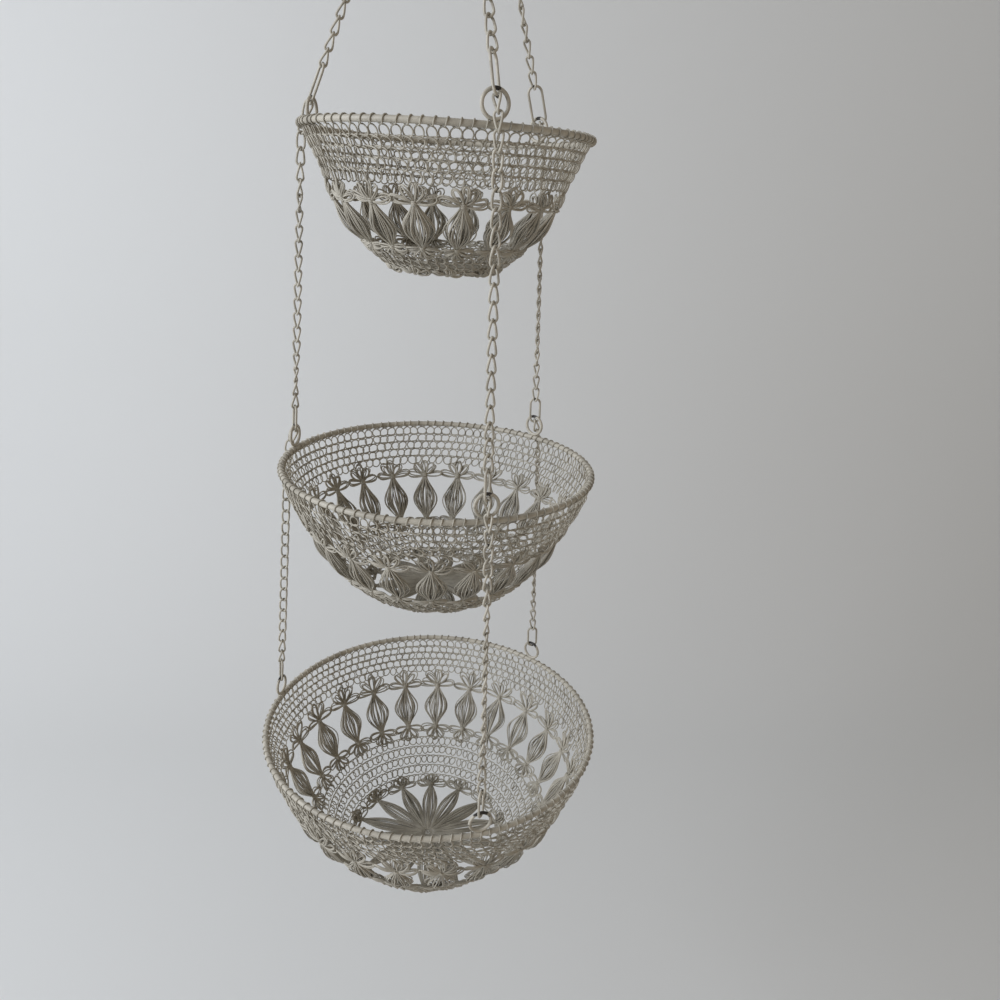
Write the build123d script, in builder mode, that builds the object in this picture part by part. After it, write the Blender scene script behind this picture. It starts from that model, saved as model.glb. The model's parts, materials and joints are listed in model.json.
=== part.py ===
from build123d import *
import math
import os

# A three-tier hanging basket: painted wire bowls, one under another, on three chains.
# The origin is where the hook bears, inside the top of the hanging ring, and +Z is up.

# Hanging ring
eye_outer = 27.0
eye_wire = 1.8
eye_turn = 20.0
top_spread_angle = 30.0

# Chain wire and links
link_wire = 1.5
link_width = 7.6
link_end_flat = 4.0
link_pitch = 11.3
link_gap = 0.4
pivot_gap = 0.9

# Long connecting links of the three bowls, and their turn from the tangential at each station
long_wire = 1.8
long_widths = (13.0, 11.0, 11.0)
long_lengths = (31.5, 24.5, 24.5)
long_turn_angles = (38.0, 50.0, 50.0)

# Rings welded on the rims
rim_ring_outer = 20.0
rim_ring_wire = 2.4
stack_gap = 1.0

# Rims and woven walls
rim_wire = 4.5
wall = 1.2

# Top, middle and bottom bowls, with depths measured down from the rim
rim_radii = (105.0, 128.0, 152.0)
neck_radii = (86.0, 109.0, 133.0)
neck_depths = (43.0, 46.0, 57.0)
waist_radii = (58.0, 84.0, 106.0)
waist_depths = (80.0, 85.0, 96.0)
foot_radii = (37.0, 51.0, 72.0)
foot_depths = (98.0, 111.0, 139.0)

# Spindles of bundled wire between the two woven bands
upper_fan_heights = (10.0, 11.0, 14.0)
lower_fan_heights = (7.0, 9.0, 11.0)
fan_thickness = 2.2
neck_width = 3.6
belly_thickness = 5.0

# Foot ring and petals of the base
foot_width = 6.0
foot_thickness = 1.6
petal_thickness = 1.6
hub_radius = 6.5
seat_gap = 0.3

# Counts and directions
tier_names = ("top", "middle", "bottom")
station_names = ("left", "front", "back")
station_azimuths = (164.9, 284.9, 44.9)
station_sides = (-1, 0, 1)
upper_chain_links = 20
tier_chain_links = 18
lead_leans = ((25.0, 14.5), (22.5, 16.5))
lead_turn = 14.0
pivot_turn = 24.0
twist_limits = (30.0, 60.0)
twist_halvings = 30
ring_sides = 8
eye_sides = 12
rim_sides = (21, 24, 27)
spindle_counts = (16, 21, 23)
petal_counts = (10, 12, 14)

# Shapes as shares of the sizes they follow
fan_spread_share = 0.86
belly_spread_share = 0.62
belly_place_share = 0.5
petal_spread_share = 0.7
petal_place_share = 0.6
roll_easing = 3

os.makedirs("parts", exist_ok=True)


def save(shape, name):
    """Labels a finished piece and writes it."""
    shape.label = name
    export_step(shape, "parts/" + name + ".step")


def polar(radius, azimuth, height):
    """A point at a radius, an azimuth in degrees and a height."""
    angle = math.radians(azimuth)
    return Vector(radius * math.cos(angle), radius * math.sin(angle), height)


# Bent wire is drawn as a square bar of the same section area


def bar_side(wire):
    """Side of the square that has the area of a round wire."""
    return wire * math.sqrt(math.pi) / 2


def carried_round(side_dir, incoming, outgoing):
    """Takes a bar's side direction round a corner without twisting the bar."""
    turn = incoming.cross(outgoing)
    if turn.length == 0:
        return side_dir
    return side_dir.rotate(Axis((0, 0, 0), tuple(turn)), incoming.get_angle(outgoing))


def corner_frames(corners):
    """Lists a closed wire's corners with direction, mitre and side direction, ending on the first."""
    count = len(corners)
    runs = [(corners[(i + 1) % count] - corners[i]).normalized() for i in range(count)]
    middle = sum(corners, Vector()) * (1 / count)
    side_dir = runs[0].cross(corners[0] - middle).normalized()
    frames = []
    for i in range(1, count + 2):
        incoming = runs[(i - 1) % count]
        outgoing = runs[i % count]
        frames.append((corners[i % count], incoming, (incoming + outgoing).normalized(), side_dir))
        side_dir = carried_round(side_dir, incoming, outgoing)
    return frames


def leftover_turn(corners):
    """Angle by which a bar has turned about itself after one round of the loop."""
    frames = corner_frames(corners)
    first, last = frames[0], frames[-1]
    across = first[3].cross(last[3]).dot(first[1])
    return abs(math.degrees(math.atan2(across, first[3].dot(last[3]))))


def flat_sided(outlines, ring=False):
    """A solid with flat sides through outlines of as many points, closed by its ends or as a ring."""
    sides = []
    for one, other in zip(outlines, outlines[1:]):
        for i in range(len(one)):
            j = (i + 1) % len(one)
            sides.append(Face(Wire.make_polygon([one[i], one[j], other[j], other[i]])))
    if not ring:
        sides += [Face(Wire.make_polygon(outlines[0])), Face(Wire.make_polygon(outlines[-1]))]
    return Solid(Shell(sides))


def wire_loop(corners, wire):
    """A closed loop of wire through the corners, mitred at each, as one solid."""
    half = bar_side(wire) / 2
    outlines = []
    for place, along, mitre, side_dir in corner_frames(corners):
        up_dir = along.cross(side_dir)
        outline = []
        for a, b in ((half, half), (-half, half), (-half, -half), (half, -half)):
            offset = side_dir * a + up_dir * b
            outline.append(place + offset - along * (offset.dot(mitre) / along.dot(mitre)))
        outlines.append(outline)
    return flat_sided(outlines, ring=True)


def twisted_corners(twist):
    """Corners of a chain link, an upright oval whose ends are turned against each other."""
    half_length = (link_length - link_wire) / 2
    side = ((link_end_flat / 2, half_length), ((link_width - link_wire) / 2, 0), (link_end_flat / 2, -half_length))
    corners = []
    for x, z in side + tuple((-x, z) for x, z in reversed(side)):
        angle = math.radians(twist * z / half_length)
        corners.append(Vector(x * math.cos(angle), x * math.sin(angle), z))
    return corners


def long_corners(width, length):
    """Corners of an upright long link with the ends of an octagon."""
    half_width = (width - long_wire) / 2
    half_length = (length - long_wire) / 2
    half_flat = half_width * math.tan(math.pi / 8)
    straight = half_length - half_width + half_flat
    side = ((half_flat, half_length), (half_width, straight), (half_width, -straight), (half_flat, -half_length))
    return [Vector(x, 0, z) for x, z in side + tuple((-x, z) for x, z in reversed(side))]


def round_corners(outer, wire, sides, plane):
    """Corners of a many-sided ring of wire, flat at the bottom, in a plane."""
    apothem = (outer - bar_side(wire)) / 2
    reach = apothem / math.cos(math.pi / sides)
    angles = [math.radians(90) + math.pi * (2 * i + 1) / sides for i in range(sides)]
    return [plane.from_local_coords((reach * math.cos(a), reach * math.sin(a))) for a in angles]


def closing_twist():
    """Twist of a chain link at which its square bar meets itself after one round, in degrees."""
    low, high = twist_limits
    for _ in range(twist_halvings):
        twist = (low + high) / 2
        if leftover_turn(twisted_corners(twist)) < 90:
            low = twist
        else:
            high = twist
    return twist


# Distances between the middles of wires that hang in each other

link_length = link_pitch + 2 * link_wire + link_gap
link_reach = link_length - link_wire
long_reaches = [length - long_wire for length in long_lengths]
link_step = link_wire + link_gap
pivot_step = link_wire + pivot_gap
hook_step = (link_wire + long_wire) / 2 + pivot_gap
link_twist = closing_twist()

# From the top wire of a rim ring down to the bow that carries it, for each bowl

rim_flat = rim_wire / 2 * math.cos(math.pi / 6)
ring_top = rim_flat + rim_ring_outer - bar_side(rim_ring_wire) / 2
carrying_drop = (rim_ring_wire + link_wire) / 2 + stack_gap + hook_step
ending_drop = (rim_ring_wire + long_wire) / 2 + stack_gap
bow_drops = (carrying_drop, carrying_drop, ending_drop)

eye_middle = -(eye_outer / 2 - bar_side(eye_wire))
eye_step = (eye_wire + link_wire) / 2 + pivot_gap


def run_reach(count):
    """From the top bow to the bottom bow of a straight run of links."""
    return (count - 1) * link_pitch + link_reach


def eye_place(side):
    """Middle of the hanging ring's wire where an upper chain hangs from it."""
    radius = (eye_outer - bar_side(eye_wire)) / 2
    angle = math.radians(side * top_spread_angle)
    return Vector(radius * math.sin(angle), 0, eye_middle - radius * math.cos(angle))


def ring_wire(tier, azimuth):
    """Middle of the top wire of a rim ring."""
    return polar(rim_radii[tier], azimuth, rim_heights[tier] + ring_top)


def bow_below(wire_place, up, drop):
    """Bottom bow of a long link that carries the wire of a rim ring."""
    return wire_place - up * drop


def lead_run(tier, bow, up, azimuth):
    """Top bows and up directions of the links that lead over a rim, and the last crossing below them."""
    step = hook_step
    tops = []
    for lean in lead_leans[tier]:
        lean_up = polar(-math.sin(math.radians(lean)), azimuth, math.cos(math.radians(lean)))
        top = bow + (up + lean_up) * (step / 2)
        tops.append((top, lean_up))
        bow, up, step = top - lean_up * link_reach, lean_up, link_step
    return tops, bow + up * (step / 2)


# Heights of the rims, each found from the chain that hangs to it

start = eye_place(0)
reach = run_reach(upper_chain_links) - eye_step - hook_step + long_reaches[0] - bow_drops[0]
rim_heights = [start.Z - math.sqrt(reach**2 - rim_radii[0] ** 2) - ring_top]
for tier in (1, 2):
    azimuth = station_azimuths[1]
    wire_place = ring_wire(tier - 1, azimuth)
    up = (start - wire_place).normalized()
    start = lead_run(tier - 1, bow_below(wire_place, up, bow_drops[tier - 1]), up, azimuth)[1]
    reach = link_reach - link_step / 2 - pivot_step
    reach += run_reach(tier_chain_links) - hook_step + long_reaches[tier] - bow_drops[tier]
    spread = rim_radii[tier] - math.hypot(start.X, start.Y)
    rim_heights.append(start.Z - math.sqrt(reach**2 - spread**2) - ring_top)


def turned_place(middle, up, roll, azimuth):
    """Place of a link about its middle, turned about its length from the tangential direction."""
    sideways = polar(1, azimuth + 90, 0)
    across = (sideways - up * up.dot(sideways)).normalized()
    return Location(Plane(origin=middle, x_dir=across.rotate(Axis((0, 0, 0), tuple(up)), roll), z_dir=up))


def link_places(top, bottom, rolls, azimuth):
    """Places for a straight run of links between the bows at its two ends."""
    up = (top - bottom).normalized()
    step = ((top - bottom).length - link_reach) / (len(rolls) - 1)
    middles = [top - up * (link_reach / 2 + i * step) for i in range(len(rolls))]
    return [turned_place(middle, up, roll, azimuth) for middle, roll in zip(middles, rolls)]


def eased_rolls(first, last, count):
    """Rolls of the links of one chain, which rise to the last within half a turn and settle soon."""
    rise = (last - first) % 180
    return [last - rise * (1 - i / (count - 1)) ** roll_easing for i in range(count)]


# The links, each made once about its middle

with BuildPart() as chain_link:
    add(wire_loop(twisted_corners(link_twist), link_wire))

long_links = [wire_loop(long_corners(*sizes), long_wire) for sizes in zip(long_widths, long_lengths)]

# Hanging ring

eye_plane = Plane(origin=(0, 0, eye_middle), z_dir=(0, -1, 0))
with BuildPart() as hanging_ring:
    add(wire_loop(round_corners(eye_outer, eye_wire, eye_sides, eye_plane), eye_wire))
save(hanging_ring.part, "hanging_ring")


def save_chain(name, places):
    """Writes a run of chain links, each a separate solid."""
    with BuildPart() as run:
        with Locations(places):
            add(chain_link.part)
    save(run.part, name)


# Chains from the hanging ring to the top bowl, and from each bowl to the next

for station, azimuth, side, long_turn in zip(station_names, station_azimuths, station_sides, long_turn_angles):
    start = eye_place(side)
    lead_rolls = [long_turn + 90 - link_twist + lead_turn * i for i in range(len(lead_leans[0]) + 1)]
    last_roll = long_turn - 90 + link_twist
    for tier, tier_name in enumerate(tier_names):
        wire_place = ring_wire(tier, azimuth)
        up = (start - wire_place).normalized()
        bow = bow_below(wire_place, up, bow_drops[tier])
        end = bow + up * (long_reaches[tier] - hook_step)
        if tier == 0:
            rolls = eased_rolls(eye_turn - azimuth - link_twist, last_roll, upper_chain_links)
            save_chain("upper_chain_" + station, link_places(start + up * eye_step, end, rolls, azimuth))
        else:
            # The first link below a rim still belongs to the lead above it
            guide = start + up * (link_step / 2 - link_reach / 2)
            leads.append(turned_place(guide, up, lead_rolls[-1], azimuth))
            save_chain(tier_names[tier - 1] + "_lead_links_" + station, leads)
            rolls = eased_rolls(lead_rolls[-1] + pivot_turn, last_roll, tier_chain_links)
            chain_top = guide - up * (link_reach / 2 - pivot_step)
            save_chain(tier_name + "_chain_" + station, link_places(chain_top, end, rolls, azimuth))
        with BuildPart() as hung_link:
            with Locations(turned_place(bow + up * (long_reaches[tier] / 2), up, long_turn, azimuth)):
                add(long_links[tier])
        save(hung_link.part, tier_name + "_long_link_" + station)
        if tier < 2:
            tops, start = lead_run(tier, bow, up, azimuth)
            leads = [
                turned_place(top - lean_up * (link_reach / 2), lean_up, roll, azimuth)
                for (top, lean_up), roll in zip(tops, lead_rolls)
            ]


def wall_radius(tier, depth):
    """Radius of the middle of the woven wall at a depth below the rim."""
    depths = (rim_flat, neck_depths[tier], waist_depths[tier], foot_depths[tier])
    radii = (rim_radii[tier], neck_radii[tier], waist_radii[tier], foot_radii[tier])
    for i in range(3):
        if depth <= depths[i + 1]:
            share = (depth - depths[i]) / (depths[i + 1] - depths[i])
            return radii[i] + share * (radii[i + 1] - radii[i])
    return radii[3]


def facet_solid(tier, profile):
    """A many-sided bowl shape through radii at depths below the rim, with flats at the stations."""
    outlines = []
    sides = rim_sides[tier]
    for radius, depth in profile:
        reach = radius / math.cos(math.pi / sides)
        turns = [station_azimuths[0] + 180 * (2 * i + 1) / sides for i in range(sides)]
        outlines.append([polar(reach, turn, rim_heights[tier] - depth) for turn in turns])
    return flat_sided(outlines)


for tier, tier_name in enumerate(tier_names):
    rim_radius = rim_radii[tier]
    band_edge = neck_depths[tier] - upper_fan_heights[tier]
    weave_edge = waist_depths[tier] + lower_fan_heights[tier]
    foot_top = foot_depths[tier] - foot_thickness

    # Rim rod, six-sided in section
    with BuildPart() as rim:
        half = rim_wire / 2
        section = ((half / 2, -rim_flat), (half, 0), (half / 2, rim_flat))
        add(facet_solid(tier, [(rim_radius + out, depth) for out, depth in section]))
        add(facet_solid(tier, [(rim_radius - out, depth) for out, depth in section]), mode=Mode.SUBTRACT)
    save(rim.part, tier_name + "_rim")

    # Rings standing on the rim, across the radius
    for station, azimuth in zip(station_names, station_azimuths):
        middle = polar(rim_radius, azimuth, rim_heights[tier] + rim_flat + rim_ring_outer / 2)
        ring_plane = Plane(origin=middle, x_dir=polar(1, azimuth + 90, 0), z_dir=polar(1, azimuth, 0))
        with BuildPart() as rim_ring:
            add(wire_loop(round_corners(rim_ring_outer, rim_ring_wire, ring_sides, ring_plane), rim_ring_wire))
        save(rim_ring.part, tier_name + "_rim_ring_" + station)

    # Woven band below the rim
    with BuildPart() as upper_weave:
        edges = [(wall_radius(tier, depth), depth) for depth in (rim_flat, band_edge)]
        add(facet_solid(tier, [(radius + wall / 2, depth) for radius, depth in edges]))
        add(facet_solid(tier, [(radius - wall / 2, depth) for radius, depth in edges]), mode=Mode.SUBTRACT)
    save(upper_weave.part, tier_name + "_upper_weave")

    # Spindles, each fanned out at both ends and tied at its two necks
    count = spindle_counts[tier]
    belly_depth = neck_depths[tier] + belly_place_share * (waist_depths[tier] - neck_depths[tier])
    sections = (
        (band_edge, fan_spread_share, fan_thickness),
        (neck_depths[tier], 0, neck_width),
        (belly_depth, belly_spread_share, belly_thickness),
        (waist_depths[tier], 0, neck_width),
        (weave_edge, fan_spread_share, fan_thickness),
    )
    outlines = []
    for depth, spread, thickness in sections:
        radius = wall_radius(tier, depth)
        half_width = max(neck_width, spread * 2 * math.pi * radius / count) / 2
        inner = radius - thickness / 2
        outer = radius + thickness / 2
        corners = ((inner, -half_width), (outer, -half_width), (outer, half_width), (inner, half_width))
        outlines.append([Vector(x, y, rim_heights[tier] - depth) for x, y in corners])
    with BuildPart() as spindles:
        with PolarLocations(0, count, start_angle=station_azimuths[0]):
            add(flat_sided(outlines))
    save(spindles.part, tier_name + "_spindles")

    # Woven band of the lower bowl, turned in at its foot
    with BuildPart() as lower_weave:
        edges = [(wall_radius(tier, depth), depth) for depth in (weave_edge, foot_depths[tier])]
        add(facet_solid(tier, [(radius + wall / 2, depth) for radius, depth in edges]))
        edges = [(wall_radius(tier, depth), depth) for depth in (weave_edge, foot_top)]
        add(facet_solid(tier, [(radius - wall / 2, depth) for radius, depth in edges]), mode=Mode.SUBTRACT)
        hole_radius = foot_radii[tier] - foot_width
        add(facet_solid(tier, [(hole_radius, foot_top), (hole_radius, foot_depths[tier])]), mode=Mode.SUBTRACT)
    save(lower_weave.part, tier_name + "_lower_weave")

    # Petals of the base, which meet at a hub and rest on the foot
    tip_radius = foot_radii[tier] - wall / 2 - seat_gap
    bulge_radius = petal_place_share * tip_radius
    half_bulge = petal_spread_share * math.pi * bulge_radius / petal_counts[tier]
    base_plane = Plane.XY.offset(rim_heights[tier] - foot_top)
    with BuildSketch(base_plane) as petal:
        with BuildLine():
            Polyline(
                (0, 0),
                (bulge_radius, -half_bulge),
                (tip_radius, -neck_width / 2),
                (tip_radius, neck_width / 2),
                (bulge_radius, half_bulge),
                close=True,
            )
        make_face()
    with BuildPart() as petals:
        with BuildSketch(base_plane):
            RegularPolygon(hub_radius, petal_counts[tier])
            with PolarLocations(0, petal_counts[tier], start_angle=station_azimuths[0]):
                add(petal.sketch_local)
        extrude(amount=petal_thickness)
    save(petals.part, tier_name + "_base_petals")
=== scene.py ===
import json
import math

import bpy
import numpy as np
from bpy.props import FloatProperty, FloatVectorProperty, IntProperty, PointerProperty
from mathutils import Matrix, Vector


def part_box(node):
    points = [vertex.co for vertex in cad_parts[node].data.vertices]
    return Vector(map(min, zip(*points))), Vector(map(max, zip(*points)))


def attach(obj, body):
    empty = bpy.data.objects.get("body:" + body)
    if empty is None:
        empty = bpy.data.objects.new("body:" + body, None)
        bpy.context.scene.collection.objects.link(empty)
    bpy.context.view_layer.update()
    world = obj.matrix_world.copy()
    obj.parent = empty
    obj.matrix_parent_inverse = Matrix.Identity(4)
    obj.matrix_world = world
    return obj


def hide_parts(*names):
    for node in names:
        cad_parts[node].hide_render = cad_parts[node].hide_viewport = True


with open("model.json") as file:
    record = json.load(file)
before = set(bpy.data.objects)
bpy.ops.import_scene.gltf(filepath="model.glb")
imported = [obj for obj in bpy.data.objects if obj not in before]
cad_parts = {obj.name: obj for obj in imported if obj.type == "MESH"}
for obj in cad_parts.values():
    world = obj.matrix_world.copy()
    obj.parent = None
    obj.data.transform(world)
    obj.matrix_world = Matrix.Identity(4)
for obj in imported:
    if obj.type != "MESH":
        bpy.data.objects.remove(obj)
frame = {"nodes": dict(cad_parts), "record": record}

bl_info = {
    "name": "Hanging Fruit Basket",
    "version": (1, 0, 0),
    "blender": (4, 5, 0),
    "location": "3D Viewport > Sidebar > Basket",
    "description": "Builds a three-tier hanging basket of crocheted wire on link chains",
    "category": "Object",
}

MM = 0.001
TIERS = ("top", "middle", "bottom")
STATIONS = ("left", "front", "back")

# Radii down each woven wall and their depths below the middle of the rim rod, in millimetres
WALL_RADII = {
    "top": (105, 98, 91.5, 86, 80, 70, 57.5, 46.5, 37),
    "middle": (128, 125.5, 120, 114, 107, 101, 92.5, 84, 73.5, 62, 51),
    "bottom": (152, 147.5, 140, 132.5, 124, 115, 105, 93, 81, 69),
}
WALL_DEPTHS = {
    "top": (0, 13, 26, 40, 53, 67, 80, 90, 96.3),
    "middle": (0, 12, 25, 37, 49, 61, 74, 85, 97, 105, 109.3),
    "bottom": (0, 20, 38, 57, 73, 86, 97.5, 113, 128, 138),
}

# Depths of the upper and lower knots of the spindles and of the knots of the base, in millimetres
KNOT_DEPTHS = {"top": (47.5, 77, 95), "middle": (47, 84, 108), "bottom": (52, 90, 136.5)}

# Loops round the rim, plain rows under the first one, and rows of the lower bowl
LOOP_COUNTS = {"top": 84, "middle": 102, "bottom": 121}
UPPER_ROWS = 4
LOWER_ROWS = {"top": 3, "middle": 4, "bottom": 5}

# Spindles round the wall and petals round the base
SPINDLE_COUNTS = {"top": 16, "middle": 21, "bottom": 23}
PETAL_COUNTS = {"top": 10, "middle": 12, "bottom": 14}

# Lengths of the petals above and below the spindles, and widths of a petal and a spindle,
# in millimetres
PETAL_LENGTHS = {"top": (13, 9.5), "middle": (15, 11), "bottom": (19, 14)}
PETAL_WIDTHS = {"top": 6.8, "middle": 7.2, "bottom": 8.2}
SPINDLE_WIDTHS = {"top": 17.5, "middle": 18.5, "bottom": 21}

# Wires in a spindle, closed loops in a petal, and degrees that petals lean from straight up
SPINDLE_WIRES = {"top": 36, "middle": 32, "bottom": 28}
PETAL_WIRES = 3
PETAL_LEANS = (-80, -38, 0, 38, 80)

# A petal that leans more than this is a level one, which reaches a little past half way to
# the next flower
LEVEL_LEAN = 60
NEIGHBOUR_SHARE = 1.02

# Length of the petals round the base as a share of the ones below the spindles
BASE_PETAL_SHARE = 0.8

# Width of the bundles of the base as a share of the space between them, and where they are
# widest as a share of the base's radius
BASE_BUNDLE_SHARE = 0.68
WIDEST_SHARE = 0.62

# Wires of a flower are drawn thicker by this share, to stand out as in the photograph
FLOWER_WIRE_SHARE = 1.15

# Half the width of a loop as a share of the distance between two loops
LOOP_WIDTH_SHARE = 0.47

# Width of a loop in the rows of the lower bowls, in millimetres
LOWER_LOOP_PITCH = 6.4

# The wire's way over the rim rod after each loop: degrees round the rod, and share of the
# way to the next loop
ROD_ANGLES = (-65, -10, 45, 100, 150, 200, 248)
ROD_WAY_SHARES = (0.16, 0.22, 0.3, 0.39, 0.48, 0.6, 0.78)

# How far the links in the middle of each run hang turned about their length: left, front
# and back, in degrees
CHAIN_TURNS = {
    "upper_chain_": (0, 0, -50),
    "top_lead_links_": (0, 0, 0),
    "middle_chain_": (80, 25, -50),
    "middle_lead_links_": (0, 0, 0),
    "bottom_chain_": (-55, 70, -50),
}

# Turn of the first spindle about the vertical, in degrees
FIRST_TURN = 164.9

# Outer widths and lengths of the long links, in millimetres
LONG_LINKS = {"top": (13, 31.5), "middle": (11, 24.5), "bottom": (11, 24.5)}

# How far down each ring from its top the paint has worn off, in steps of a 64th of the ring
WORN_STEPS = {"top": 5, "middle": 5, "bottom": 11}

# Sizes of the marks in the paint, in millimetres. Real brush marks of about 0.2 are too
# fine to show, so they are drawn coarser
PATCH_SIZE = 16.7
SPECK_SIZE = 2.38
BRUSH_MARK_SIZE = 0.625

# The camera of the photograph: place in metres below the hook, and turns in degrees
CAMERA_PLACE = (-0.007003, -0.640982, -0.310135)
CAMERA_PITCH, CAMERA_ROLL, CAMERA_YAW = -20.726, -3.362, -5.408
CAMERA_LENS = 28.765

# Floor height, radius and start of the bend up to the backdrop, and the ends of the sheet,
# in metres
FLOOR, BEND, BEND_START, BACKDROP_TOP = -1.6, 0.8, 1.0, 2.5
FLOOR_FRONT, SHEET_HALF_WIDTH = -3.5, 5

# Lamps: name, place, point aimed at, side in metres, watts and colour
LAMPS = (
    ("window", (-2.5, -1.0, 0.5), (0, 0.2, -0.5), 2.0, 90, "#f1f6ff"),
    ("fill", (2.2, -1.8, -0.1), (0, 0, -0.5), 2.0, 9, "#ffe2bf"),
)
ROOM_LIGHT, ROOM_LIGHT_STRENGTH = "#efebe4", 0.24


def from_hex(code):
    """A colour written as sRGB hex, turned linear."""
    shares = [int(code[i : i + 2], 16) / 255 for i in (1, 3, 5)]
    return [c / 12.92 if c <= 0.04045 else ((c + 0.055) / 1.055) ** 2.4 for c in shares]


class BasketSizes(bpy.types.PropertyGroup):
    """Sizes of the basket's wires. Thin ones are drawn up to a fifth thicker than real ones, to show."""

    hanging_wire: FloatProperty(
        name="Hanging ring", description="Thickness of the hanging ring", default=0.0018, unit="LENGTH"
    )
    link_wire: FloatProperty(
        name="Chain wire", description="Thickness of a chain link's wire", default=0.0018, unit="LENGTH"
    )
    link_width: FloatProperty(
        name="Link width", description="Width over a chain link", default=0.0076, unit="LENGTH"
    )
    link_length: FloatProperty(
        name="Link length", description="Length over a chain link", default=0.0147, unit="LENGTH"
    )
    link_twist: FloatProperty(
        name="Link twist", description="Turn of each end of a chain link", default=math.radians(39.8),
        subtype="ANGLE",
    )
    long_wire: FloatProperty(
        name="Long link wire", description="Thickness of the long links", default=0.0020, unit="LENGTH"
    )
    ring_wire: FloatProperty(
        name="Ring wire",
        description="Thickness of the rings on the rims",
        default=0.0026, unit="LENGTH",
    )
    ring_outer: FloatProperty(
        name="Ring", description="Diameter over a ring on a rim", default=0.020, unit="LENGTH"
    )
    rim_rod: FloatProperty(
        name="Rim rod", description="Thickness of the rim rods", default=0.0045, unit="LENGTH"
    )
    weave_wire: FloatProperty(
        name="Weave wire", description="Thickness of the crocheted wire", default=0.00108, unit="LENGTH"
    )
    row_pitch: FloatProperty(
        name="Row pitch",
        description="Distance between two crocheted rows",
        default=0.0072, unit="LENGTH",
    )
    loop_height: FloatProperty(
        name="Loop height", description="Height of a crocheted loop", default=0.0080, unit="LENGTH"
    )
    loop_tilt: FloatProperty(
        name="Loop tilt",
        description="How far one side of a loop stands out",
        default=0.0011, unit="LENGTH",
    )
    seed: IntProperty(name="Seed", description="Start of the uneven hand work", default=7)


class BasketColours(bpy.types.PropertyGroup):
    """Colours of the basket and its surroundings."""

    paint: FloatVectorProperty(
        name="Paint", description="Paint on rods, rings and links",
        subtype="COLOR", default=from_hex("#c1bbad"),
    )
    # The crocheted wire's colour is the real paint drawn a little darker than the rods', as painted shade
    # among its loops
    weave_paint_and_shade: FloatVectorProperty(
        name="Weave paint", description="Paint on the crocheted wire",
        subtype="COLOR", default=from_hex("#b7b1a3"),
    )
    grime: FloatVectorProperty(
        name="Grime", description="Dust and yellowing in the paint",
        subtype="COLOR", default=from_hex("#746d60"),
    )
    steel: FloatVectorProperty(
        name="Bare steel", description="Dark steel where paint has chipped",
        subtype="COLOR", default=from_hex("#2e2a27"),
    )
    room: FloatVectorProperty(
        name="Backdrop", description="Floor and backdrop", subtype="COLOR", default=from_hex("#e4e5e4")
    )


# Wires as meshes


def directions(paths, closed):
    """Directions along wires at each of their points."""
    if closed:
        steps = np.roll(paths, -1, axis=1) - np.roll(paths, 1, axis=1)
    else:
        steps = np.gradient(paths, axis=1)
    return steps / np.linalg.norm(steps, axis=2, keepdims=True)


def carried_sides(ways, closed):
    """Side directions carried along wires without twisting them."""
    first = np.eye(3)[np.argmin(np.abs(ways[:, 0]), axis=1)]
    sides = np.empty_like(ways)
    for i in range(ways.shape[1]):
        way = ways[:, i]
        first = first - way * np.sum(first * way, axis=1, keepdims=True)
        first = first / np.linalg.norm(first, axis=1, keepdims=True)
        sides[:, i] = first
    if not closed:
        return sides
    way = ways[:, 0]
    last = first - way * np.sum(first * way, axis=1, keepdims=True)
    across = np.sum(np.cross(sides[:, 0], last) * way, axis=1)
    gap = np.arctan2(across, np.sum(sides[:, 0] * last, axis=1))
    back = -gap[:, None] * np.arange(ways.shape[1]) / ways.shape[1]
    return sides * np.cos(back)[..., None] + np.cross(ways, sides) * np.sin(back)[..., None]


def smoothed(path):
    """A closed path of twice as many points, bent smoothly through the given ones."""
    before, after, far = np.roll(path, 1, 0), np.roll(path, -1, 0), np.roll(path, -2, 0)
    between = (9 * (path + after) - before - far) / 16
    return np.stack((path, between), axis=1).reshape(-1, 3)


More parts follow.
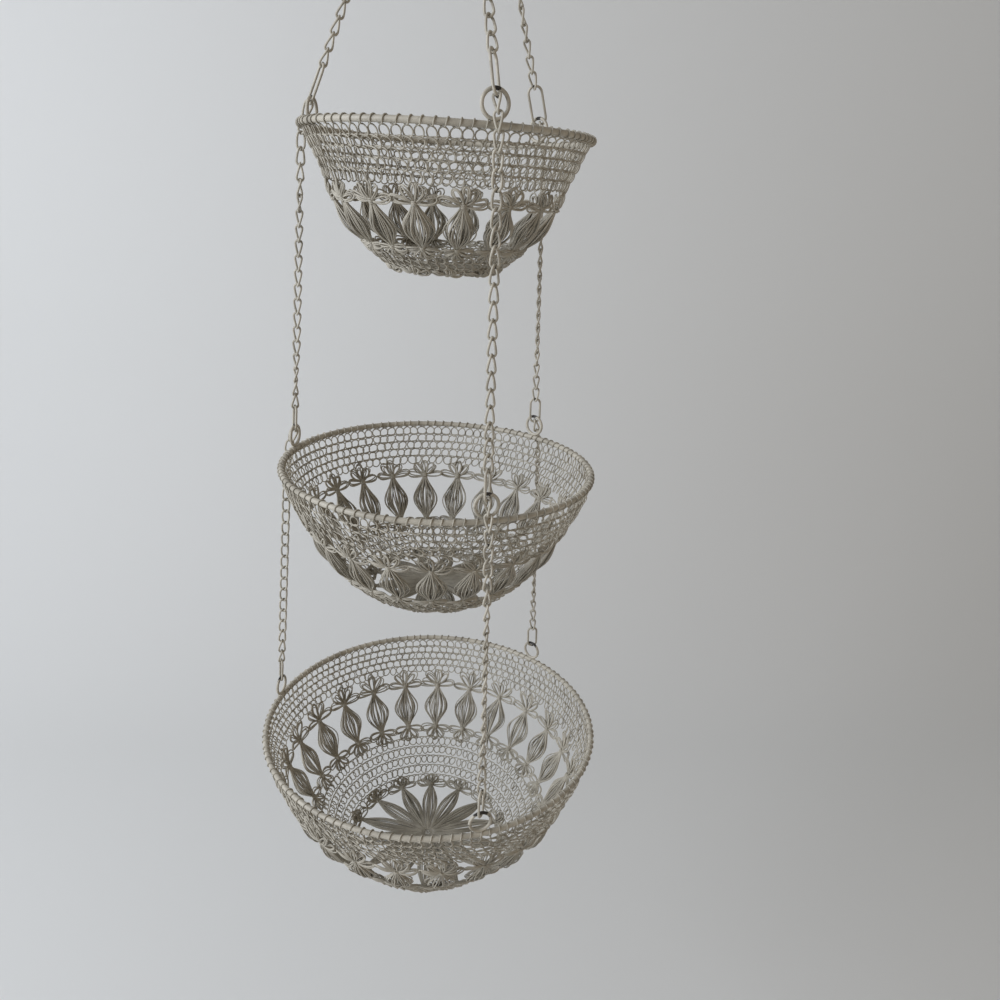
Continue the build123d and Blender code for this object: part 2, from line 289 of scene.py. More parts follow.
class WireMesh:
    """Gathers round wires into one mesh."""

    def __init__(self):
        self.points = []
        self.faces = []
        self.wear = []
        self.count = 0

    def add(self, paths, thickness, sides, closed=False, wear=0.0):
        """Adds wires along paths, an array of wires by points by three."""
        paths = np.asarray(paths, float)
        if paths.ndim == 2:
            paths = paths[None]
        wires, steps = paths.shape[:2]
        ways = directions(paths, closed)
        out = carried_sides(ways, closed)
        up = np.cross(ways, out)
        turns = 2 * math.pi * np.arange(sides) / sides
        ring = out[:, :, None] * np.cos(turns)[:, None] + up[:, :, None] * np.sin(turns)[:, None]
        self.points.append((paths[:, :, None] + ring * thickness / 2).reshape(-1, 3))
        self.wear.append(np.repeat(np.broadcast_to(wear, (wires, steps)).ravel(), sides))
        places = self.count + np.arange(wires * steps * sides).reshape(wires, steps, sides)
        here, there = (places, np.roll(places, -1, 1)) if closed else (places[:, :-1], places[:, 1:])
        quads = (here, np.roll(here, -1, 2), np.roll(there, -1, 2), there)
        self.faces.append(np.stack(quads, axis=-1).reshape(-1, 4))
        if not closed:
            self.faces.append(places[:, 0, ::-1])
            self.faces.append(places[:, -1])
        self.count += wires * steps * sides

    def make(self, name, node, finish):
        """Makes the piece, hides the CAD node in its place and lets the piece ride on that node's body.
        """
        mesh = bpy.data.meshes.new(name)
        points = np.concatenate(self.points)
        corners = np.concatenate([faces.ravel() for faces in self.faces])
        sizes = np.concatenate([np.full(len(faces), faces.shape[1]) for faces in self.faces])
        mesh.vertices.add(len(points))
        mesh.vertices.foreach_set("co", points.astype(np.float32).ravel())
        mesh.loops.add(len(corners))
        mesh.loops.foreach_set("vertex_index", corners.astype(np.int32))
        mesh.polygons.add(len(sizes))
        mesh.polygons.foreach_set("loop_start", (np.cumsum(sizes) - sizes).astype(np.int32))
        mesh.polygons.foreach_set("use_smooth", np.ones(len(sizes), bool))
        mesh.update(calc_edges=True)
        worn = mesh.attributes.new("wear", "FLOAT", "POINT")
        worn.data.foreach_set("value", np.concatenate(self.wear).astype(np.float32))
        mesh.materials.append(finish)
        piece = bpy.data.objects.new(name, mesh)
        bpy.context.scene.collection.objects.link(piece)
        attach(piece, body_of(node))
        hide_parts(node)
        return piece


# Places taken from the CAD model


def body_of(node):
    """The body that a CAD node belongs to."""
    for body, members in frame["record"]["behaviour"]["bodies"].items():
        if node in members:
            return body
    raise ValueError("no body holds " + node)


def slot_of(node):
    """The material slot that the record gives a CAD node."""
    for subpart in frame["record"]["subparts"]:
        if subpart["node"] == node:
            return subpart["material_slot"]
    raise ValueError("no material slot for " + node)


def solids_of(node):
    """Corners of each separate solid in a CAD node."""
    mesh = frame["nodes"][node].data
    points = np.array([v.co for v in mesh.vertices], float)
    edges = np.array([e.vertices for e in mesh.edges])
    kinds, same = np.unique(np.round(points / (0.01 * MM)), axis=0, return_inverse=True)
    same = same.ravel()
    names = np.arange(len(kinds))
    one, other = same[edges[:, 0]], same[edges[:, 1]]
    while True:
        lowest = names.copy()
        np.minimum.at(lowest, one, names[other])
        np.minimum.at(lowest, other, names[one])
        lowest = lowest[lowest]
        if np.array_equal(lowest, names):
            break
        names = lowest
    corners = kinds * 0.01 * MM
    return [corners[names == name] for name in np.unique(names)]


def link_frame(corners):
    """Middle, width direction and length direction of a link from its corners."""
    middle = corners.mean(axis=0)
    offsets = corners - middle
    up = np.linalg.eigh(offsets.T @ offsets)[1][:, -1]
    if up[2] < 0:
        up = -up
    heights = offsets @ up
    waist_share = 0.45
    waist = offsets[np.abs(heights) < waist_share * heights.max()]
    if not len(waist):
        # A long link has no corners between its ends, which lie flat
        waist = offsets
    waist = waist - np.outer(waist @ up, up)
    across = np.linalg.eigh(waist.T @ waist)[1][:, -1]
    across = across - up * (across @ up)
    across = across / np.linalg.norm(across)
    return middle, across, up


def turned(place, turn):
    """A link's place turned about its length."""
    middle, across, up = place
    return middle, across * math.cos(turn) + np.cross(up, across) * math.sin(turn), up


def placed(path, place):
    """A flat or twisted link path in the frame of a link."""
    middle, across, up = place
    return middle + path @ np.array([across, np.cross(up, across), up])


def rim_of(tier):
    """Height and radius of the middle of a rim rod."""
    low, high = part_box(tier + "_rim")
    rod = bpy.context.scene.basket_sizes.rim_rod
    return (low.z + high.z) / 2, WALL_RADII[tier][0] * MM, rod


# Paths of links and rings


def oval_path(width, length, steps):
    """An upright link with straight sides and round ends, through the middle of its wire."""
    radius = width / 2
    straight = length - width
    around = 2 * math.pi * radius + 2 * straight
    points = []
    for i in range(steps):
        run = (i + 0.5) * around / steps
        if run < math.pi * radius:
            turn = run / radius
            points.append((radius * math.cos(turn), 0, straight / 2 + radius * math.sin(turn)))
        elif run < math.pi * radius + straight:
            points.append((-radius, 0, straight / 2 - (run - math.pi * radius)))
        elif run < 2 * math.pi * radius + straight:
            turn = (run - straight) / radius
            points.append((radius * math.cos(turn), 0, -straight / 2 + radius * math.sin(turn)))
        else:
            points.append((radius, 0, -straight / 2 + (run - 2 * math.pi * radius - straight)))
    return np.array(points)


def twisted(path, twist):
    """A link path with its ends turned against each other."""
    turns = twist * path[:, 2] / path[:, 2].max()
    x, y = path[:, 0], path[:, 1]
    across = x * np.cos(turns) - y * np.sin(turns)
    along = x * np.sin(turns) + y * np.cos(turns)
    return np.stack((across, along, path[:, 2]), axis=1)


def ring_path(middle, radius, across, up, steps):
    """A round ring from two directions in its plane, starting at its top."""
    turns = 2 * math.pi * np.arange(steps)[:, None] / steps
    return middle + radius * (np.sin(turns) * across + np.cos(turns) * up)


# The woven wall


class Wall:
    """A bowl's round wall, on which a place is a turn, a length down from the rim and a lift outwards."""

    def __init__(self, tier):
        self.height, rim_radius, self.rod = rim_of(tier)
        corners = np.stack((WALL_RADII[tier], WALL_DEPTHS[tier]), axis=1) * MM
        spread = np.vstack((2 * corners[0] - corners[1], corners, 2 * corners[-1] - corners[-2]))
        fine = []
        for a, b, c, d in zip(spread, spread[1:], spread[2:], spread[3:]):
            for t in np.arange(0, 1, 0.1):
                bend = (2 * a - 5 * b + 4 * c - d) * t**2
                sharper = (3 * b - a - 3 * c + d) * t**3
                fine.append(0.5 * (2 * b + (c - a) * t + bend + sharper))
        fine.append(corners[-1])
        fine = np.array(fine)
        self.radii, self.depths = fine[:, 0], fine[:, 1]
        self.lengths = np.concatenate(([0], np.cumsum(np.hypot(*np.diff(fine, axis=0).T))))
        self.rim_radius = rim_radius

    def length_at(self, depth):
        """Length down the wall at a depth below the rim."""
        return float(np.interp(depth, self.depths, self.lengths))

    def radius(self, length):
        """Radius of the wall at a length down from the rim."""
        return np.interp(length, self.lengths, self.radii)

    def depth(self, length):
        """Depth of the wall below the rim at a length down from the rim."""
        return np.interp(length, self.lengths, self.depths)

    def place(self, turn, length, lift):
        """Points on or off the wall."""
        step = 0.5 * MM
        down = self.depth(length + step) - self.depth(length - step)
        away = self.radius(length + step) - self.radius(length - step)
        size = np.maximum(np.hypot(down, away), 1e-9)
        radius = self.radius(length) + lift * down / size
        height = self.height - self.depth(length) + lift * away / size
        return np.stack((radius * np.cos(turn), radius * np.sin(turn), height + 0 * turn), axis=-1)

    def beside(self, turn, across, length, lift):
        """Points at a sideways distance from a turn."""
        return self.place(turn + across / self.radius(length), length, lift)


def rim_row(wall, count, sizes, chance):
    """The first row: round loops, each held by a turn of the wire over the rim rod."""
    pitch = 2 * math.pi * wall.rim_radius / count
    wire = sizes.weave_wire
    rod = wall.rod / 2 + wire / 2
    half_width = LOOP_WIDTH_SHARE * pitch
    path = []
    for k in range(count):
        middle = (k + 0.5) * pitch + chance.normal(0, 0.05) * pitch
        wide = half_width * (1 + chance.normal(0, 0.06))
        tall = sizes.loop_height / 2 * (1 + chance.normal(0, 0.04))
        slant = chance.normal(0, 0.05) * pitch
        top = wall.rod / 2 + 0.9 * wire
        for angle in range(20, 350, 40):
            turn = math.radians(angle)
            across = middle + wide * math.sin(turn) + slant * math.cos(turn)
            lift = 0.55 * sizes.loop_tilt * math.sin(turn)
            down = top + tall * (1 - math.cos(turn))
            path.append(wall.place(np.array(across / wall.rim_radius), down, lift))
        for angle, share in zip(ROD_ANGLES, ROD_WAY_SHARES):
            turn = math.radians(angle)
            out = wall.rim_radius + rod * math.cos(turn)
            around = (middle + share * pitch + slant) / wall.rim_radius
            height = wall.height + rod * math.sin(turn)
            path.append(np.array((out * math.cos(around), out * math.sin(around), height)))
    return smoothed(np.array(path))


def loop_row(wall, count, top, sizes, chance, phase):
    """A crocheted row: one wire that runs round the bowl in crossed loops."""
    steps = 20
    runs = np.arange(count * steps) / steps
    loop = np.floor(runs).astype(int)
    share = runs - loop
    turn = 2 * math.pi * share
    narrow = 0.2
    rise = np.sin(math.pi / 2 * np.clip(share / narrow, 0, 1)) / 2
    fall = np.sin(math.pi / 2 * np.clip((1 - share) / narrow, 0, 1)) / 2
    along = loop + np.where(share < 0.5, rise, 1 - fall)
    pitch_turn = 2 * math.pi / count
    wide = LOOP_WIDTH_SHARE * pitch_turn * (1 + chance.normal(0, 0.09, count))[loop]
    tall = sizes.loop_height / 2 * (1 + chance.normal(0, 0.06, count))[loop]
    stray = (chance.normal(0, 0.05, count) * pitch_turn)[loop] * np.sin(math.pi * share) ** 2
    lean = (chance.normal(0.12, 0.12, count) * pitch_turn)[loop] * (1 - np.cos(turn)) / 2
    turns = (along + phase) * pitch_turn + wide * np.sin(turn) + stray + lean
    tilt = sizes.loop_tilt * (1 + chance.normal(0, 0.35, count))[loop]
    sag = (chance.normal(0, 0.25, count) * MM)[loop] * np.sin(math.pi * share) ** 2
    lifts = tilt * np.sin(turn) + sag
    return wall.place(turns, top + tall * (1 - np.cos(turn)), lifts)


def knot_turns(count):
    """Turns of evenly spaced knots about the vertical."""
    return math.radians(FIRST_TURN) + 2 * math.pi * np.arange(count) / count


def petal_loops(wall, turns, length, lean, long_side, width, lift, chance):
    """Closed loops like petals that start at knots, turned by a lean from straight up the wall."""
    steps = 18
    knots = len(turns)
    shares = np.arange(steps) / steps
    out = (1 - np.cos(2 * math.pi * shares)) / 2
    reach = long_side * (1 + chance.normal(0, 0.06, (knots, 1))) * out
    teardrop = np.sin(2 * math.pi * shares) * (0.45 + 0.75 * out)
    half = width / 2 * (1 + chance.normal(0, 0.12, (knots, 1))) * teardrop
    angle = lean + chance.normal(0, 0.07, (knots, 1))
    across = reach * np.sin(angle) + half * np.cos(angle)
    down = -reach * np.cos(angle) + half * np.sin(angle)
    lifts = lift * np.sin(math.pi * out) + chance.normal(0, 0.3, (knots, 1)) * MM * out
    return wall.beside(turns[:, None], across, length + down, lifts + 0.25 * half)


def knot_wraps(wall, turns, length, sizes, chance):
    """Wire wound round each knot."""
    rounds = 3.5
    steps = 40
    shares = np.linspace(0, 1, steps)
    angle = 2 * math.pi * rounds * shares + chance.uniform(0, 6, (len(turns), 1))
    size = 1.75 * MM * (1 + 0.12 * np.sin(math.pi * shares))
    height = (shares - 0.5) * rounds * sizes.weave_wire * 0.95
    return wall.beside(turns[:, None], size * np.cos(angle), length + height, size * np.sin(angle))


def flower(mesh, wall, turns, length, tier, reach, sign, sizes, chance, sideways):
    """Five petals of wire round each knot, and the knot itself."""
    wire = sizes.weave_wire * FLOWER_WIRE_SHARE
    for lean in PETAL_LEANS:
        long_side = sideways if abs(lean) > LEVEL_LEAN else reach
        angle = math.radians(lean)
        if sign < 0:
            angle = math.pi - angle
        for ply in range(PETAL_WIRES):
            # Each loop of a petal lies inside the one before and stands out further
            width = PETAL_WIDTHS[tier] * (1 - 0.24 * ply) * MM
            lift = (0.9 + 0.5 * ply) * MM
            side = long_side * (1 - 0.04 * ply)
            loops = petal_loops(wall, turns, length, angle, side, width, lift, chance)
            mesh.add(loops, wire, 5, closed=True)
    mesh.add(knot_wraps(wall, turns, length, sizes, chance), wire, 5)


def bundle_shape(shares):
    """How far a bundle of wires spreads between its two knots."""
    return np.sin(math.pi * shares**1.05) ** 1.7


def spindle_wires(wall, turns, start, end, width, wires, chance):
    """Bundles of wires that bulge between two rings of knots."""
    steps = 15
    shares = np.linspace(0, 1, steps)
    spread = bundle_shape(shares)
    angles = 2 * math.pi * (np.arange(wires) + 0.5) / wires
    angles = angles + chance.normal(0, 0.15, (len(turns), wires))
    size = np.where(np.arange(wires) % 3 == 1, 0.6, 1) + chance.normal(0, 0.1, (len(turns), wires))
    half_neck_width, half_neck_depth, half_depth = 1.6 * MM, 0.7 * MM, 3.2 * MM
    sideways = (size * np.cos(angles))[..., None] * (width / 2) * spread
    core = half_neck_width * np.cos(angles)[..., None]
    thick = (size * np.sin(angles))[..., None] * (half_depth * spread + half_neck_depth)
    wander = chance.normal(0, 0.6, (len(turns), wires, 1)) * MM * np.sin(2 * math.pi * shares)
    lengths = start + (end - start) * shares
    paths = wall.beside(turns[:, None, None], sideways + core + wander, lengths[None, None], thick)
    return paths.reshape(-1, steps, 3)


def base_wires(turns, radius, hub, width, wires, height, chance):
    """Bundles of wires that run from the knots of the base to its middle."""
    steps = 15
    shares = np.linspace(0, 1, steps)
    spread = np.sin(math.pi * shares**0.8) ** 1.5
    angles = 2 * math.pi * (np.arange(wires) + 0.5) / wires + chance.normal(0, 0.09, (len(turns), wires))
    half_neck_width, half_neck_depth, half_depth = 0.9 * MM, 0.5 * MM, 1.6 * MM
    across = np.cos(angles)[..., None] * (width / 2 * spread + half_neck_width)
    thick = np.sin(angles)[..., None] * (half_depth * spread + half_neck_depth)
    away = radius + (hub - radius) * shares + 0 * across
    turns = turns[:, None, None]
    x = away * np.cos(turns) - across * np.sin(turns)
    y = away * np.sin(turns) + across * np.cos(turns)
    return np.stack((x, y, height + thick), axis=-1).reshape(-1, steps, 3)


# Materials


def add_node(tree, kind, inputs=(), **settings):
    """Adds a shader node with its settings, and fills its inputs with values or links."""
    made = tree.nodes.new(kind)
    for key, value in settings.items():
        setattr(made, key, value)
    for socket, value in dict(inputs).items():
        if isinstance(value, bpy.types.NodeSocket):
            tree.links.new(value, made.inputs[socket])
        else:
            made.inputs[socket].default_value = value
    return made


# Oil paint brushed over mild steel wire long ago: a matt off-white, greyer in patches and
# finely speckled with dust, with thin brush marks, and rubbed through to dark steel where a
# ring or link bears on another
def painted_metal(name, colour, roughness):
    """Makes the finish of one kind of piece."""
    colours = bpy.context.scene.basket_colours
    material = bpy.data.materials.new(name)
    material.use_nodes = True
    tree = material.node_tree
    shader = tree.nodes["Principled BSDF"]
    place = add_node(tree, "ShaderNodeTexCoord").outputs["Object"]
    patterns = []
    for size, detail in ((PATCH_SIZE, 3), (SPECK_SIZE, 4), (BRUSH_MARK_SIZE, 2)):
        inputs = {"Vector": place, "Scale": 1 / (size * MM), "Detail": detail}
        patterns.append(add_node(tree, "ShaderNodeTexNoise", inputs).outputs[0])
    patches, specks, marks = patterns
    greyed = add_node(tree, "ShaderNodeMapRange", {0: patches, 1: 0.42, 2: 0.72, 3: 0.05, 4: 0.5})
    dusty = add_node(tree, "ShaderNodeMapRange", {0: specks, 1: 0.55, 2: 0.75, 3: 0.0, 4: 0.35})
    worn = add_node(tree, "ShaderNodeAttribute", attribute_name="wear").outputs["Fac"]
    edge = add_node(tree, "ShaderNodeMath", {0: worn, 1: specks}, operation="ADD").outputs[0]
    chipped = add_node(tree, "ShaderNodeMapRange", {0: edge, 1: 1.0, 2: 1.1})
    tone = (*colour, 1)
    for share, over in ((greyed, colours.grime), (dusty, colours.grime), (chipped, colours.steel)):
        inputs = {0: share.outputs[0], 6: tone, 7: (*over, 1)}
        tone = add_node(tree, "ShaderNodeMix", inputs, data_type="RGBA").outputs[2]
    inputs = {0: specks, 3: roughness - 0.1, 4: roughness + 0.15}
    rough = add_node(tree, "ShaderNodeMapRange", inputs).outputs[0]
    inputs = {"Strength": 0.35, "Distance": 0.1 * MM, "Height": marks}
    bump = add_node(tree, "ShaderNodeBump", inputs).outputs[0]
    tree.links.new(tone, shader.inputs["Base Color"])
    tree.links.new(rough, shader.inputs["Roughness"])
    tree.links.new(bump, shader.inputs["Normal"])
    shader.inputs["Specular IOR Level"].default_value = 0.45


def finish_of(slot):
    """The worn finish for a material slot, made when it is first asked for."""
    colours = bpy.context.scene.basket_colours
    kinds = {
        "painted_link_wire": (colours.paint, 0.42),
        "painted_rod": (colours.paint, 0.48),
        # The weave's colour holds painted shade among the loops as well as the paint
        "painted_weave_wire": (colours.weave_paint_and_shade, 0.5),
    }
    # The slot's own name belongs to the plain material of the CAD model
    name = "worn_" + slot
    if name not in bpy.data.materials:
        painted_metal(name, *kinds[slot])
    return bpy.data.materials[name]


# Operators


def links_piece(node, path, wire, sides, wear, middle_turn=0):
    """A fine piece in place of a node of links, turned about their length in the middle of the run."""
    mesh = WireMesh()
    places = sorted((link_frame(corners) for corners in solids_of(node)), key=lambda place: place[0][2])
    shares = (np.arange(len(places)) + 0.5) / len(places)
    # Nearly nothing at both ends, where a link has to fit the ring or link beside it
    turns = math.radians(middle_turn) * np.clip(1.6 * np.sin(math.pi * shares) - 0.15, 0, 1)
    paths = np.array([placed(path, turned(place, turn)) for place, turn in zip(places, turns)])
    mesh.add(paths, wire, sides, closed=True, wear=wear)
    return mesh.make(node + "_wire", node, finish_of(slot_of(node)))


class BASKET_OT_hanging_ring(bpy.types.Operator):
    """Adds the ring that the three upper chains hang from"""

    bl_idname = "basket.hanging_ring"
    bl_label = "Hanging ring"

    def execute(self, context):
        sizes = context.scene.basket_sizes
        low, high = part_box("hanging_ring")
        middle = np.array((low + high) / 2)
        radius = (high.z - low.z - sizes.hanging_wire) / 2
        steps = 72
        path = ring_path(middle, radius, np.array((1, 0, 0)), np.array((0, 0, 1)), steps)
        # A little worn where a chain hangs
        wear = 0.35 * np.exp(-(((np.arange(steps) - 30) / 4.0) ** 2))
        mesh = WireMesh()
        mesh.add(path, sizes.hanging_wire, 10, closed=True, wear=wear)
        mesh.make("hanging_ring_wire", "hanging_ring", finish_of("painted_link_wire"))
        return {"FINISHED"}


class BASKET_OT_chains(bpy.types.Operator):
    """Adds the twisted links of all chains"""

    bl_idname = "basket.chains"
    bl_label = "Chains"

    def execute(self, context):
        sizes = context.scene.basket_sizes
        wire = sizes.link_wire
        path = twisted(oval_path(sizes.link_width - wire, sizes.link_length - wire, 36), sizes.link_twist)
        heights = np.abs(path[:, 2]) / path[:, 2].max()
        wear = 0.5 * np.clip((heights - 0.9) / 0.1, 0, 1)
        for run, turns in CHAIN_TURNS.items():
            for station, turn in zip(STATIONS, turns):
                links_piece(run + station, path, wire, 8, wear, turn)
        return {"FINISHED"}


class BASKET_OT_long_links(bpy.types.Operator):
    """Adds the long link that ends the chain at each ring"""

    bl_idname = "basket.long_links"
    bl_label = "Long links"

    def execute(self, context):
        wire = context.scene.basket_sizes.long_wire
        for tier, (width, length) in LONG_LINKS.items():
            path = oval_path(width * MM - wire, length * MM - wire, 56)
            heights = np.abs(path[:, 2]) / path[:, 2].max()
            wear = 0.55 * np.clip((heights - 0.93) / 0.07, 0, 1)
            for station in STATIONS:
                links_piece(tier + "_long_link_" + station, path, wire, 10, wear)
        return {"FINISHED"}


class BASKET_OT_rim_rings(bpy.types.Operator):
    """Adds the rings that stand on the rims"""

    bl_idname = "basket.rim_rings"
    bl_label = "Rim rings"

    def execute(self, context):
        sizes = context.scene.basket_sizes
        radius = (sizes.ring_outer - sizes.ring_wire) / 2
        steps = 64
        places = np.arange(steps)
        from_top = np.minimum(places, steps - places)
        for tier in TIERS:
            # Worn at the top by the long link, and at one side
            wear = 0.8 * np.exp(-((from_top / WORN_STEPS[tier]) ** 2))
            wear = wear + 0.5 * np.exp(-(((places - 47) / 1.5) ** 2))
            for station in STATIONS:
                node = tier + "_rim_ring_" + station
                low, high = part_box(node)
                middle = np.array((low + high) / 2)
                out = np.array((middle[0], middle[1], 0)) / math.hypot(middle[0], middle[1])
                across = np.cross((0, 0, 1), out)
                mesh = WireMesh()
                path = ring_path(middle, radius, across, np.array((0, 0, 1)), steps)
                mesh.add(path, sizes.ring_wire, 12, closed=True, wear=wear)
                mesh.make(node + "_wire", node, finish_of("painted_link_wire"))
        return {"FINISHED"}


class BASKET_OT_rims(bpy.types.Operator):
    """Adds the rod of each rim"""

    bl_idname = "basket.rims"
    bl_label = "Rims"

    def execute(self, context):
        for tier in TIERS:
            height, radius, rod = rim_of(tier)
            middle = np.array((0, 0, height))
            path = ring_path(middle, radius, np.array((1, 0, 0)), np.array((0, 1, 0)), 240)
            mesh = WireMesh()
            mesh.add(path, rod, 14, closed=True)
            mesh.make(tier + "_rim_rod", tier + "_rim", finish_of("painted_rod"))
        return {"FINISHED"}


class BASKET_OT_upper_weaves(bpy.types.Operator):
    """Adds the crocheted band below each rim"""

    bl_idname = "basket.upper_weaves"
    bl_label = "Upper weaves"

    def execute(self, context):
        sizes = context.scene.basket_sizes
        for number, tier in enumerate(TIERS):
            chance = np.random.RandomState(sizes.seed + number)
            wall = Wall(tier)
            count = LOOP_COUNTS[tier]
            mesh = WireMesh()
            mesh.add(rim_row(wall, count, sizes, chance), sizes.weave_wire, 5, closed=True)
            overlap = 0.4 * MM
            top = wall.rod / 2 + sizes.loop_height - overlap
            for row in range(UPPER_ROWS):
                phase = 0.5 * (row % 2) + chance.uniform(-0.1, 0.1)
                path = loop_row(wall, count, top + row * sizes.row_pitch, sizes, chance, phase)
                mesh.add(path, sizes.weave_wire, 5, closed=True)
            mesh.make(tier + "_upper_weave_wire", tier + "_upper_weave", finish_of("painted_weave_wire"))
        return {"FINISHED"}


class BASKET_OT_spindles(bpy.types.Operator):
    """Adds the bulging bundles of wire and the flowers that hold them"""

    bl_idname = "basket.spindles"
    bl_label = "Spindles"

    def execute(self, context):
        sizes = context.scene.basket_sizes
        for number, tier in enumerate(TIERS):
            chance = np.random.RandomState(sizes.seed + 10 + number)
            wall = Wall(tier)
            count = SPINDLE_COUNTS[tier]
            turns = knot_turns(count)
            start, end = (wall.length_at(depth * MM) for depth in KNOT_DEPTHS[tier][:2])
            mesh = WireMesh()
            for length, reach, sign in zip((start, end), PETAL_LENGTHS[tier], (1, -1)):
                sideways = math.pi * wall.radius(length) / count * NEIGHBOUR_SHARE
                flower(mesh, wall, turns, length, tier, reach * MM, sign, sizes, chance, sideways)
            width = SPINDLE_WIDTHS[tier] * MM
            paths = spindle_wires(wall, turns, start, end, width, SPINDLE_WIRES[tier], chance)
            mesh.add(paths, sizes.weave_wire, 5)
            mesh.make(tier + "_spindle_wires", tier + "_spindles", finish_of("painted_weave_wire"))
        return {"FINISHED"}


class BASKET_OT_lower_weaves(bpy.types.Operator):
    """Adds the crocheted band of each lower bowl"""

    bl_idname = "basket.lower_weaves"
    bl_label = "Lower weaves"

    def execute(self, context):
        sizes = context.scene.basket_sizes
        for number, tier in enumerate(TIERS):
            chance = np.random.RandomState(sizes.seed + 20 + number)
            wall = Wall(tier)
            start, end = (wall.length_at(depth * MM) for depth in KNOT_DEPTHS[tier][1:])
            overlap, clearance = 2.5 * MM, 1 * MM
            start += PETAL_LENGTHS[tier][1] * MM - overlap
            rows = LOWER_ROWS[tier]
            pitch = (end - start - clearance) / rows
            mesh = WireMesh()
            for row in range(rows):
                top = start + row * pitch
                count = int(2 * math.pi * wall.radius(top + pitch / 2) / (LOWER_LOOP_PITCH * MM))
                phase = 0.5 * (row % 2) + chance.uniform(-0.1, 0.1)
                path = loop_row(wall, count, top, sizes, chance, phase)
                mesh.add(path, sizes.weave_wire, 5, closed=True)
            turns = knot_turns(PETAL_COUNTS[tier])
            reach = BASE_PETAL_SHARE * PETAL_LENGTHS[tier][1] * MM
            sideways = math.pi * wall.radius(end) / PETAL_COUNTS[tier] * NEIGHBOUR_SHARE
            flower(mesh, wall, turns, end, tier, reach, 1, sizes, chance, sideways)
            mesh.make(tier + "_lower_weave_wire", tier + "_lower_weave", finish_of("painted_weave_wire"))
        return {"FINISHED"}


class BASKET_OT_bases(bpy.types.Operator):
    """Adds the petals of wire that close each base"""

    bl_idname = "basket.bases"
    bl_label = "Bases"

    def execute(self, context):
        sizes = context.scene.basket_sizes
        for number, tier in enumerate(TIERS):
            chance = np.random.RandomState(sizes.seed + 30 + number)
            wall = Wall(tier)
            count = PETAL_COUNTS[tier]
            turns = knot_turns(count)
            edge = wall.length_at(KNOT_DEPTHS[tier][2] * MM)
            radius = wall.radius(edge)
            height = wall.height - KNOT_DEPTHS[tier][2] * MM
            hub = 3.2 * MM
            width = BASE_BUNDLE_SHARE * 2 * math.pi * (WIDEST_SHARE * radius) / count
            mesh = WireMesh()
            paths = base_wires(turns, radius, hub, width, SPINDLE_WIRES[tier], height, chance)
            mesh.add(paths, sizes.weave_wire, 5)
            # Four turns of wire round the hub
            for ring in range(4):
                middle = np.array((0, 0, height + (ring % 2) * 0.6 * MM))
                reach = (ring + 0.7) * sizes.weave_wire
                path = ring_path(middle, reach, np.array((1, 0, 0)), np.array((0, 1, 0)), 20)
                mesh.add(path, sizes.weave_wire, 5, closed=True)
            mesh.make(tier + "_base_wires", tier + "_base_petals", finish_of("painted_weave_wire"))
        return {"FINISHED"}


def add_backdrop(scene):
    """Floor and backdrop in one matt sheet that bends up behind the basket."""
    bend = np.linspace(0, math.pi / 2, 17)
    curve = [(BEND_START + BEND * math.sin(a), FLOOR + BEND * (1 - math.cos(a))) for a in bend]
    profile = [(FLOOR_FRONT, FLOOR)] + curve + [(BEND_START + BEND, BACKDROP_TOP)]
    points = [(x, y, z) for y, z in profile for x in (-SHEET_HALF_WIDTH, SHEET_HALF_WIDTH)]
    faces = [(2 * i, 2 * i + 1, 2 * i + 3, 2 * i + 2) for i in range(len(profile) - 1)]
    mesh = bpy.data.meshes.new("backdrop")
    mesh.from_pydata(points, [], faces)
    mesh.polygons.foreach_set("use_smooth", [True] * len(faces))
    material = bpy.data.materials.new("matt_pale_wall")
    material.use_nodes = True
    shader = material.node_tree.nodes["Principled BSDF"]
    shader.inputs["Base Color"].default_value = (*scene.basket_colours.room, 1)
    shader.inputs["Roughness"].default_value = 0.9
    mesh.materials.append(material)
    sheet = bpy.data.objects.new("backdrop", mesh)
    scene.collection.objects.link(sheet)


def add_lamp(scene, name, place, aim, side, power, colour):
    """A square lamp that points at a place."""
    lamp = bpy.data.lights.new(name, "AREA")
    lamp.shape = "SQUARE"
    lamp.size = side
    lamp.energy = power
    lamp.color = from_hex(colour)
    held = bpy.data.objects.new(name, lamp)
    held.location = place
    held.rotation_euler = (Vector(aim) - Vector(place)).to_track_quat("-Z", "Y").to_euler()
    scene.collection.objects.link(held)


def add_room_light(scene):
    """Soft light from all sides."""
    world = bpy.data.worlds.new("room_light")
    world.use_nodes = True
    sky = world.node_tree.nodes["Background"]
    sky.inputs["Color"].default_value = (*from_hex(ROOM_LIGHT), 1)
    sky.inputs["Strength"].default_value = ROOM_LIGHT_STRENGTH
    scene.world = world


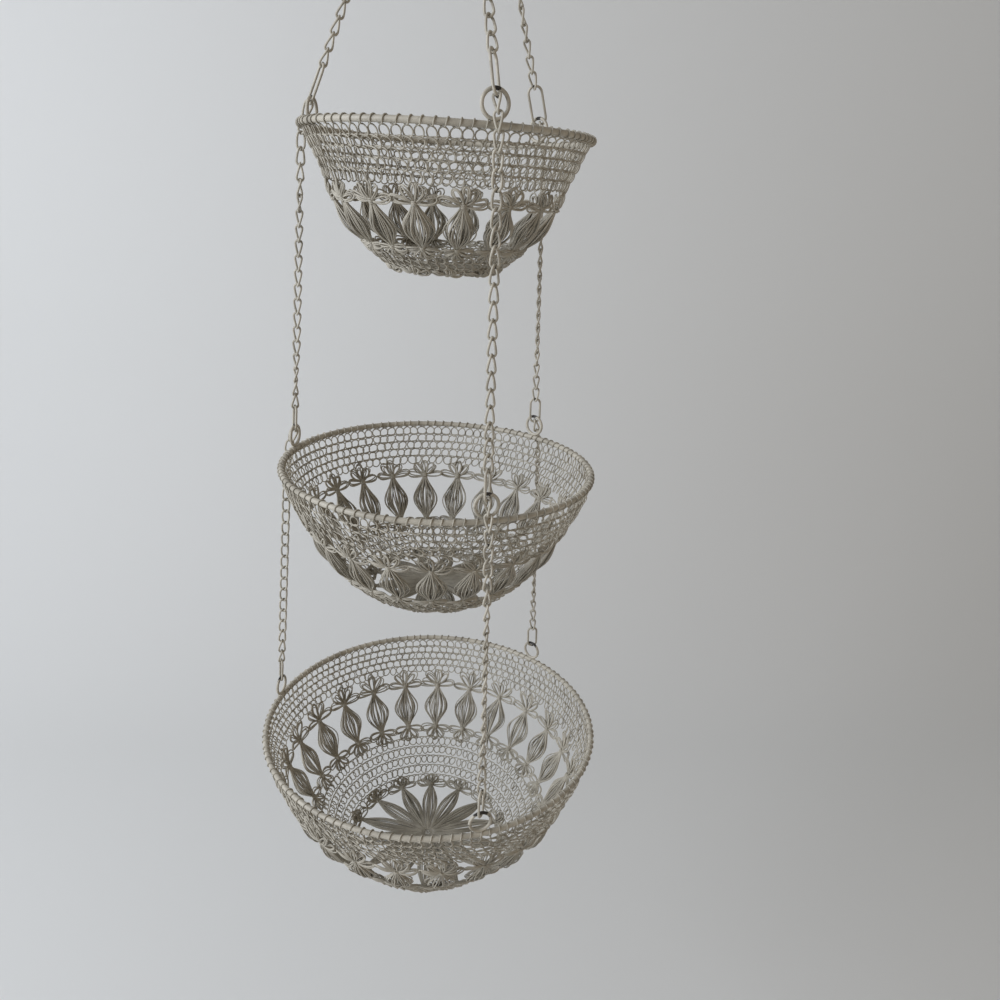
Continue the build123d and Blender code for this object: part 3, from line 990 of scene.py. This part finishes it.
def add_camera(scene):
    """The camera of the photograph."""
    camera = bpy.data.cameras.new("camera")
    camera.lens = CAMERA_LENS
    camera.sensor_width = 36
    camera.clip_start = 0.01
    held = bpy.data.objects.new("camera", camera)
    facing = Matrix.Rotation(math.radians(CAMERA_YAW), 4, "Z")
    facing @= Matrix.Rotation(math.radians(CAMERA_PITCH), 4, "X")
    facing @= Matrix.Rotation(math.radians(CAMERA_ROLL), 4, "Y")
    level = Matrix.Rotation(math.pi / 2, 4, "X")
    held.matrix_world = Matrix.Translation(CAMERA_PLACE) @ facing @ level
    scene.collection.objects.link(held)
    scene.camera = held


class BASKET_OT_stage(bpy.types.Operator):
    """Adds the floor, backdrop, lamps and camera"""

    bl_idname = "basket.stage"
    bl_label = "Stage"

    def execute(self, context):
        scene = context.scene
        add_backdrop(scene)
        for lamp in LAMPS:
            add_lamp(scene, *lamp)
        add_room_light(scene)
        add_camera(scene)
        scene.view_settings.view_transform = "Standard"
        return {"FINISHED"}


OPERATORS = (
    BASKET_OT_hanging_ring,
    BASKET_OT_chains,
    BASKET_OT_long_links,
    BASKET_OT_rim_rings,
    BASKET_OT_rims,
    BASKET_OT_upper_weaves,
    BASKET_OT_spindles,
    BASKET_OT_lower_weaves,
    BASKET_OT_bases,
    BASKET_OT_stage,
)


class BASKET_PT_panel(bpy.types.Panel):
    """Sizes, colours and steps of the basket"""

    bl_idname = "BASKET_PT_panel"
    bl_label = "Hanging Basket"
    bl_space_type = "VIEW_3D"
    bl_region_type = "UI"
    bl_category = "Basket"

    def draw(self, context):
        for group in (context.scene.basket_sizes, context.scene.basket_colours):
            box = self.layout.box()
            for name in type(group).__annotations__:
                box.prop(group, name)
        for operator in OPERATORS:
            self.layout.operator(operator.bl_idname)


CLASSES = (BasketSizes, BasketColours, *OPERATORS, BASKET_PT_panel)


def register():
    for made in CLASSES:
        bpy.utils.register_class(made)
    bpy.types.Scene.basket_sizes = PointerProperty(type=BasketSizes)
    bpy.types.Scene.basket_colours = PointerProperty(type=BasketColours)


def unregister():
    del bpy.types.Scene.basket_colours
    del bpy.types.Scene.basket_sizes
    for made in reversed(CLASSES):
        bpy.utils.unregister_class(made)


def main():
    """Builds everything."""
    register()
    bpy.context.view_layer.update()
    for operator in OPERATORS:
        group, name = operator.bl_idname.split(".")
        getattr(getattr(bpy.ops, group), name)()


if __name__ == "__main__":
    main()
